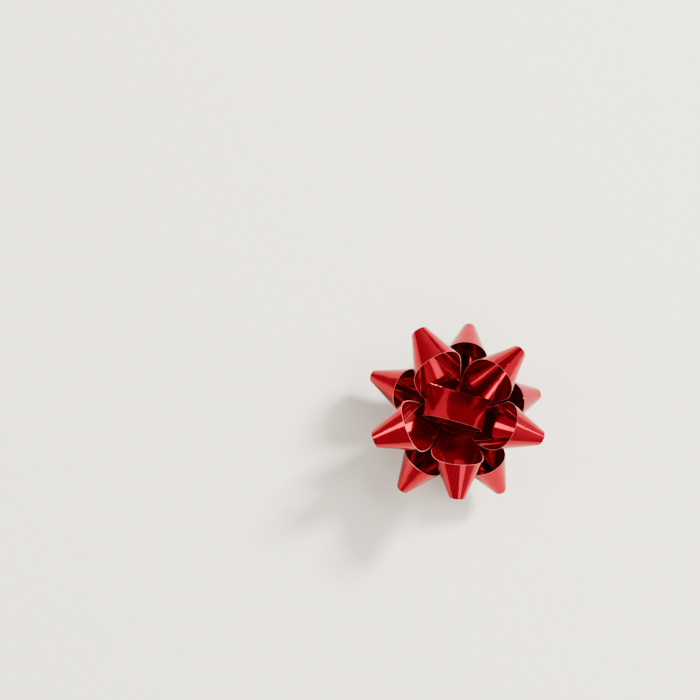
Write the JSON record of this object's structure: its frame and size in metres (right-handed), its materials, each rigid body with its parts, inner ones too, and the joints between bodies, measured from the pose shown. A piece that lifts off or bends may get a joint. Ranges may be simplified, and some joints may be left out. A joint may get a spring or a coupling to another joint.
{
  "type": "gift bow",
  "caption": "Small pre-made star bow of metallised red ribbon: two tiers of looped points round a centre loop, on a stapled card disc with an adhesive pad and release liner.",
  "frame": {"origin": "middle of the liner face the bow rests on, on the axis of the bow", "axes": "+Z along the axis of the bow, away from the surface it is stuck to; +Y towards the loop that points up in the usual view; +X to its right"},
  "size_m": [0.0265, 0.0267, 0.0135],
  "materials": {
    "ribbon_film": "metallised polyester film, mirror bright, deep red on both faces",
    "staple_wire": "drawn galvanised wire",
    "backing_card": "grey-brown pulp board, matt",
    "adhesive_foam": "white closed-cell foam tape",
    "liner_paper": "silicone-coated release paper"
  },
  "bodies": {
    "base": {"ribbon_stack": "ribbon_film", "staple": "staple_wire", "card_disc": "backing_card", "foam_pad": "adhesive_foam"},
    "lower_loop_1": {"lower_loop_1": "ribbon_film"},
    "lower_loop_2": {"lower_loop_2": "ribbon_film"},
    "lower_loop_3": {"lower_loop_3": "ribbon_film"},
    "lower_loop_4": {"lower_loop_4": "ribbon_film"},
    "lower_loop_5": {"lower_loop_5": "ribbon_film"},
    "upper_loop_1": {"upper_loop_1": "ribbon_film"},
    "upper_loop_2": {"upper_loop_2": "ribbon_film"},
    "upper_loop_3": {"upper_loop_3": "ribbon_film"},
    "upper_loop_4": {"upper_loop_4": "ribbon_film"},
    "upper_loop_5": {"upper_loop_5": "ribbon_film"},
    "centre_loop": {"centre_loop": "ribbon_film"},
    "release_liner": {"release_liner": "liner_paper"}
  },
  "joints": [
    {"name": "lower_loop_1_flex", "type": "hinge", "parent": "base", "child": "lower_loop_1", "pos_m": [0.00293, 0.00079, 0.00183], "axis": [0.2588, -0.9659, 0], "range_deg": [-6, 2], "stiffness_Nm_per_rad": 0.0002},
    {"name": "lower_loop_2_flex", "type": "hinge", "parent": "base", "child": "lower_loop_2", "pos_m": [0.00058, 0.00298, 0.00281], "axis": [0.9816, -0.1908, 0], "range_deg": [-6, 2], "stiffness_Nm_per_rad": 0.0002},
    {"name": "lower_loop_3_flex", "type": "hinge", "parent": "base", "child": "lower_loop_3", "pos_m": [-0.00273, 0.00133, 0.00215], "axis": [0.4384, 0.8988, 0], "range_deg": [-6, 2], "stiffness_Nm_per_rad": 0.0002},
    {"name": "lower_loop_4_flex", "type": "hinge", "parent": "base", "child": "lower_loop_4", "pos_m": [-0.00174, -0.00249, 0.00315], "axis": [-0.8191, 0.5736, 0], "range_deg": [-6, 2], "stiffness_Nm_per_rad": 0.0002},
    {"name": "lower_loop_5_flex", "type": "hinge", "parent": "base", "child": "lower_loop_5", "pos_m": [0.00165, -0.00254, 0.00248], "axis": [-0.8387, -0.5446, 0], "range_deg": [-6, 2], "stiffness_Nm_per_rad": 0.0002},
    {"name": "upper_loop_1_flex", "type": "hinge", "parent": "base", "child": "upper_loop_1", "pos_m": [0.00215, 0.00215, 0.00447], "axis": [0.7071, -0.7071, 0], "range_deg": [-2, 4], "stiffness_Nm_per_rad": 0.0002},
    {"name": "upper_loop_2_flex", "type": "hinge", "parent": "base", "child": "upper_loop_2", "pos_m": [-0.00138, 0.0027, 0.0038], "axis": [0.891, 0.454, 0], "range_deg": [-2, 4], "stiffness_Nm_per_rad": 0.0002},
    {"name": "upper_loop_3_flex", "type": "hinge", "parent": "base", "child": "upper_loop_3", "pos_m": [-0.00287, -0.00099, 0.00479], "axis": [-0.3256, 0.9455, 0], "range_deg": [-2, 4], "stiffness_Nm_per_rad": 0.0002},
    {"name": "upper_loop_4_flex", "type": "hinge", "parent": "base", "child": "upper_loop_4", "pos_m": [-0.00011, -0.00303, 0.00413], "axis": [-0.9994, 0.0349, 0], "range_deg": [-2, 4], "stiffness_Nm_per_rad": 0.0002},
    {"name": "upper_loop_5_flex", "type": "hinge", "parent": "base", "child": "upper_loop_5", "pos_m": [0.0029, -0.00089, 0.00348], "axis": [-0.2924, -0.9563, 0], "range_deg": [-2, 4], "stiffness_Nm_per_rad": 0.0002},
    {"name": "centre_loop_flex", "type": "hinge", "parent": "base", "child": "centre_loop", "pos_m": [0, 0, 0.00623], "axis": [0.9681, -0.2504, 0], "range_deg": [-3, 3], "stiffness_Nm_per_rad": 0.0002},
    {"name": "liner_peel", "type": "hinge", "parent": "base", "child": "release_liner", "pos_m": [-0.00465, 0.0012, 0.00016], "axis": [0.2504, 0.9681, 0], "range_deg": [0, 120]}
  ]
}
